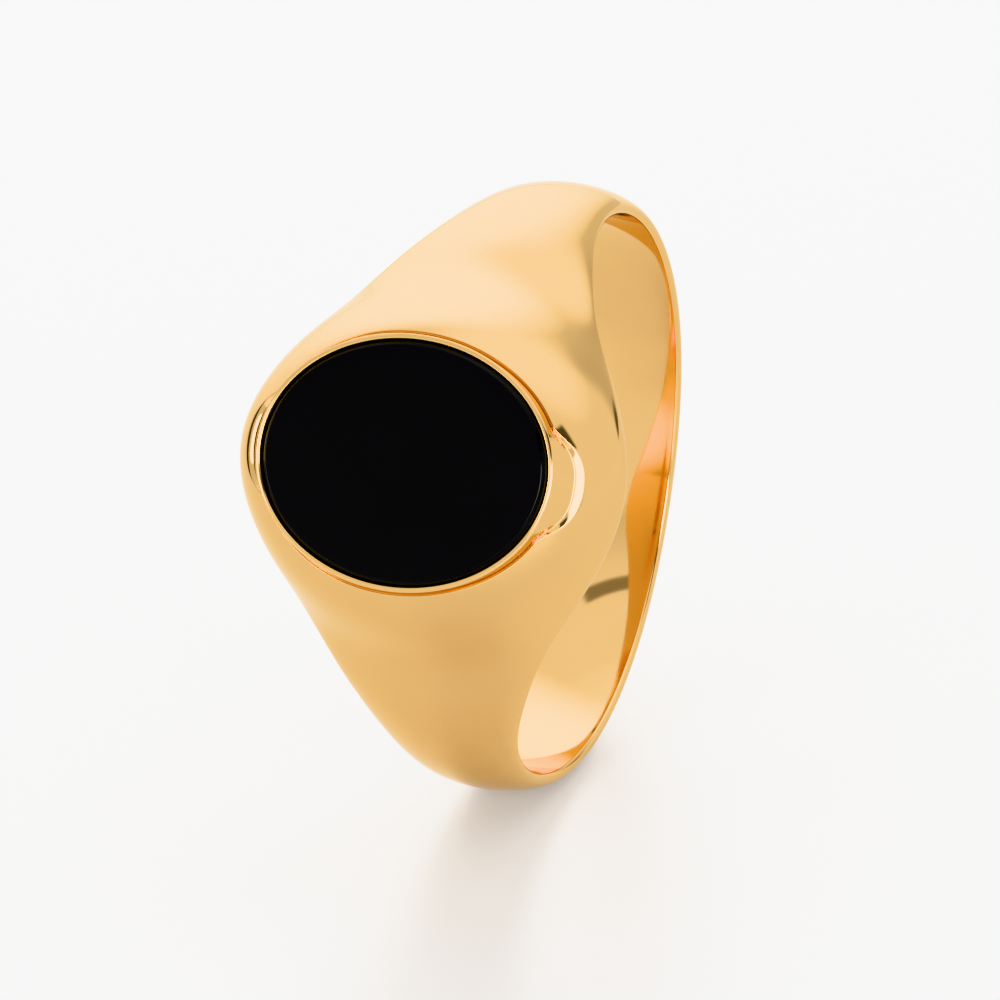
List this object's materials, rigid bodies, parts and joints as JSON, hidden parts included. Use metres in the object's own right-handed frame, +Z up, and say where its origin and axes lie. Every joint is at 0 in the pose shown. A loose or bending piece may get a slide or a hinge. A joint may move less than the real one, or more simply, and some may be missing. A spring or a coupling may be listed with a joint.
{
  "type": "signet ring",
  "caption": "Polished gold oval signet ring with a flat bevelled black onyx tablet set flush in a raised bezel, wide tapering shoulders and a slim rounded shank.",
  "frame": {"origin": "centre of the finger bore", "axes": "+X along the finger, +Z up; the ring stands on the back of its shank and its face looks towards -Y, turned up by 24.8 degrees"},
  "size_m": [0.0134, 0.0241, 0.0211],
  "materials": {
    "gold": "mirror-polished yellow gold",
    "onyx": "polished black onyx",
    "cement": "cured clear epoxy"
  },
  "bodies": {
    "root": {"ring_body": "gold", "onyx_stone": "onyx", "stone_cement": "cement"}
  },
  "joints": []
}
